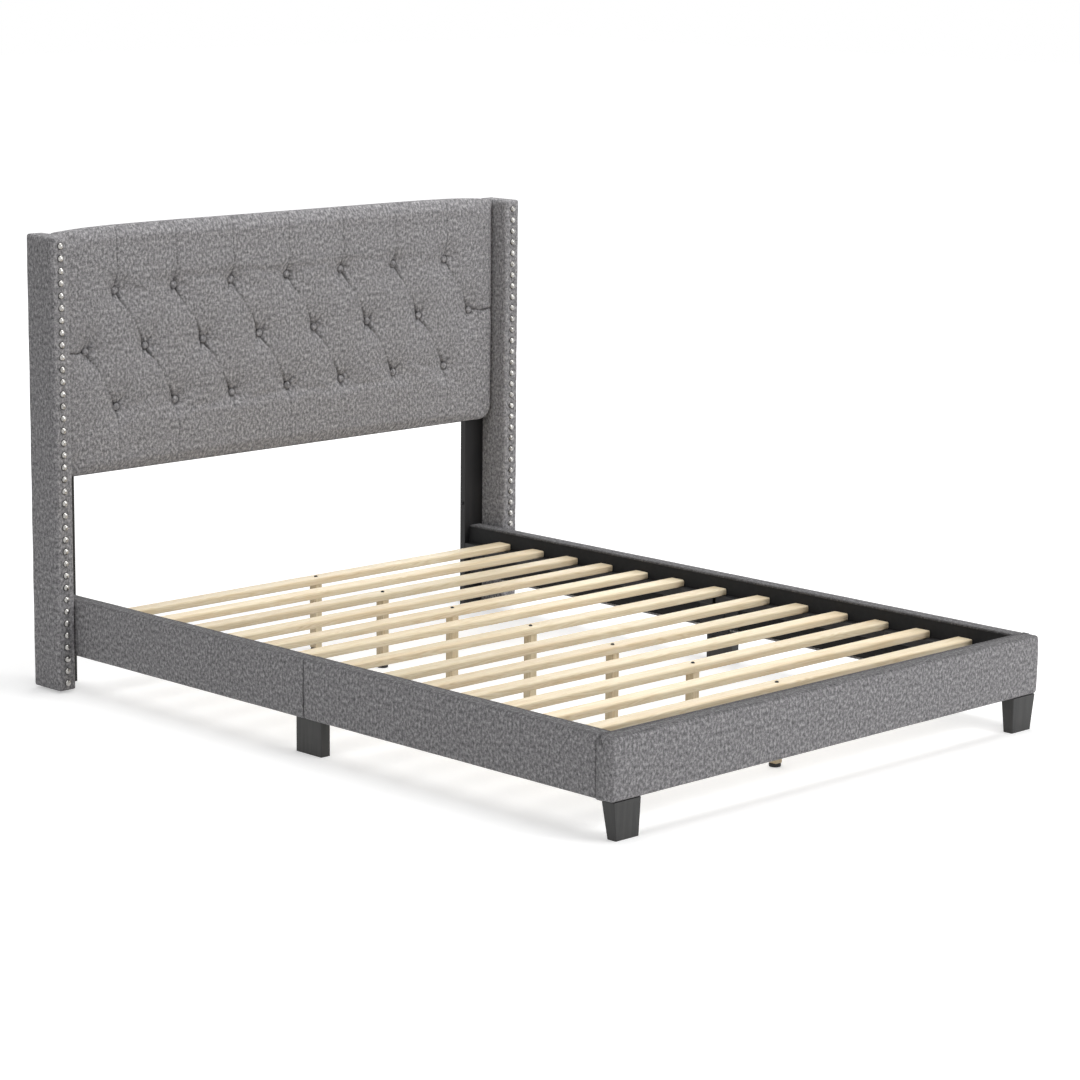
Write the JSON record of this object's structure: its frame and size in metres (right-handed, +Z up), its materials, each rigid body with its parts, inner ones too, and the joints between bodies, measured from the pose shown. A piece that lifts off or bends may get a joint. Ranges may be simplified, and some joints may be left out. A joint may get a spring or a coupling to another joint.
{
  "type": "wingback bed frame",
  "caption": "Upholstered wingback bed frame with a button-tufted headboard, nailhead-trimmed wings, padded rails, and a slatted deck on support legs with screw-in feet.",
  "frame": {"origin": "on the floor under the middle of the bed frame", "axes": "+X to the right as seen from the foot, +Y from the footboard to the headboard, +Z up"},
  "size_m": [1.764, 2.19, 1.28],
  "materials": {
    "grey_fabric": "heathered linen-look weave",
    "black_cloth": "thin non-woven cloth",
    "black_board": "plywood under black lining",
    "black_wood": "satin black paint on wood",
    "pine": "planed, unfinished",
    "nail_metal": "polished nickel",
    "black_steel": "black zinc",
    "black_plastic": "moulded"
  },
  "bodies": {
    "bed": {"foot_corner_brackets": "black_steel", "footboard_board": "black_board", "footboard_cover": "grey_fabric", "frame_bolts": "black_steel", "head_rail_brackets": "black_steel", "headboard_backboard": "black_board", "headboard_buttons": "grey_fabric", "headboard_dust_cover": "black_cloth", "headboard_pad": "grey_fabric", "left_foot_leg": "black_wood", "left_foot_rail_board": "black_board", "left_foot_rail_cover": "grey_fabric", "left_foot_slat_ledge": "black_wood", "left_head_rail_board": "black_board", "left_head_rail_cover": "grey_fabric", "left_head_slat_ledge": "black_wood", "left_mid_leg": "black_wood", "left_post": "black_wood", "left_wing": "grey_fabric", "left_wing_nails": "nail_metal", "rail_joiner_plates": "black_steel", "right_foot_leg": "black_wood", "right_foot_rail_board": "black_board", "right_foot_rail_cover": "grey_fabric", "right_foot_slat_ledge": "black_wood", "right_head_rail_board": "black_board", "right_head_rail_cover": "grey_fabric", "right_head_slat_ledge": "black_wood", "right_mid_leg": "black_wood", "right_post": "black_wood", "right_wing": "grey_fabric", "right_wing_nails": "nail_metal", "slat_01": "pine", "slat_02": "pine", "slat_03": "pine", "slat_04": "pine", "slat_05": "pine", "slat_06": "pine", "slat_07": "pine", "slat_08": "pine", "slat_09": "pine", "slat_10": "pine", "slat_11": "pine", "slat_12": "pine", "slat_13": "pine", "slat_bolts": "black_steel", "support_leg_1": "pine", "support_leg_2": "pine", "support_leg_3": "pine", "support_leg_4": "pine", "support_leg_5": "pine", "support_leg_6": "pine", "support_leg_7": "pine"},
    "levelling_foot_1": {"levelling_foot_1": "black_plastic"},
    "levelling_foot_2": {"levelling_foot_2": "black_plastic"},
    "levelling_foot_3": {"levelling_foot_3": "black_plastic"},
    "levelling_foot_4": {"levelling_foot_4": "black_plastic"},
    "levelling_foot_5": {"levelling_foot_5": "black_plastic"},
    "levelling_foot_6": {"levelling_foot_6": "black_plastic"},
    "levelling_foot_7": {"levelling_foot_7": "black_plastic"}
  },
  "joints": [
    {"name": "foot_screw_1", "type": "slide", "parent": "bed", "child": "levelling_foot_1", "axis": [0, 0, -1], "range_m": [0, 0.012]},
    {"name": "foot_screw_2", "type": "slide", "parent": "bed", "child": "levelling_foot_2", "axis": [0, 0, -1], "range_m": [0, 0.012]},
    {"name": "foot_screw_3", "type": "slide", "parent": "bed", "child": "levelling_foot_3", "axis": [0, 0, -1], "range_m": [0, 0.012]},
    {"name": "foot_screw_4", "type": "slide", "parent": "bed", "child": "levelling_foot_4", "axis": [0, 0, -1], "range_m": [0, 0.012]},
    {"name": "foot_screw_5", "type": "slide", "parent": "bed", "child": "levelling_foot_5", "axis": [0, 0, -1], "range_m": [0, 0.012]},
    {"name": "foot_screw_6", "type": "slide", "parent": "bed", "child": "levelling_foot_6", "axis": [0, 0, -1], "range_m": [0, 0.012]},
    {"name": "foot_screw_7", "type": "slide", "parent": "bed", "child": "levelling_foot_7", "axis": [0, 0, -1], "range_m": [0, 0.012]}
  ]
}
